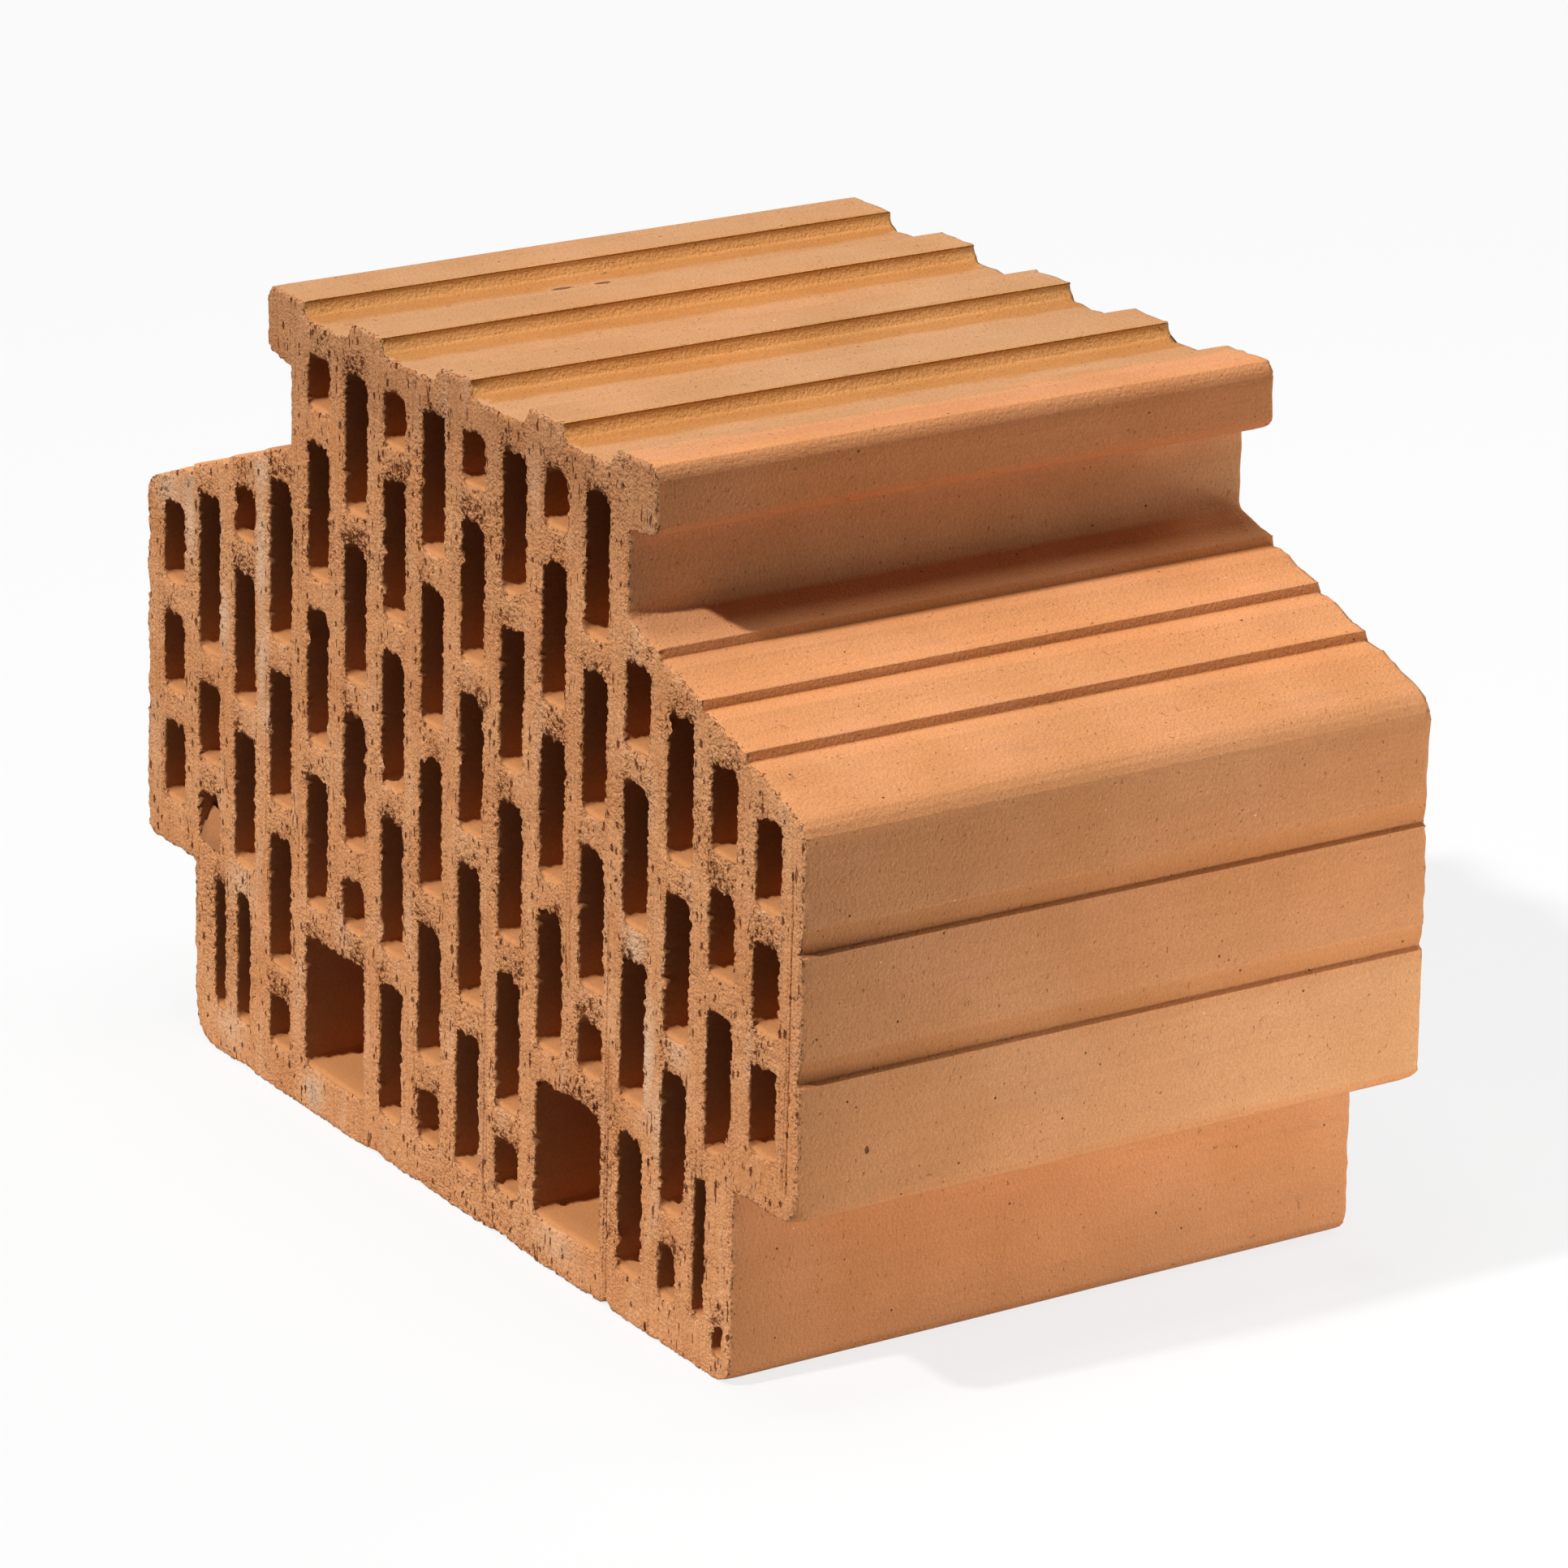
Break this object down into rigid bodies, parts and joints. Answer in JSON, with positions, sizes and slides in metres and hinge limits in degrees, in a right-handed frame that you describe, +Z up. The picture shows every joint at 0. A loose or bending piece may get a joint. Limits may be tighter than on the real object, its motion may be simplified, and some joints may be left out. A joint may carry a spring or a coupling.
{
  "type": "ceiling block",
  "caption": "Hollow fired-clay ceiling block with stepped bearing ledges, sloping ribbed shoulders, a grooved head and staggered slots right through it.",
  "frame": {"origin": "middle of the underside", "axes": "+X across the section towards one side flange, +Y along the extrusion, from one wire-cut end to the other, +Z up"},
  "size_m": [0.36, 0.2, 0.238],
  "materials": {
    "clay": "matte"
  },
  "bodies": {
    "root": {"block": "clay"}
  },
  "joints": []
}
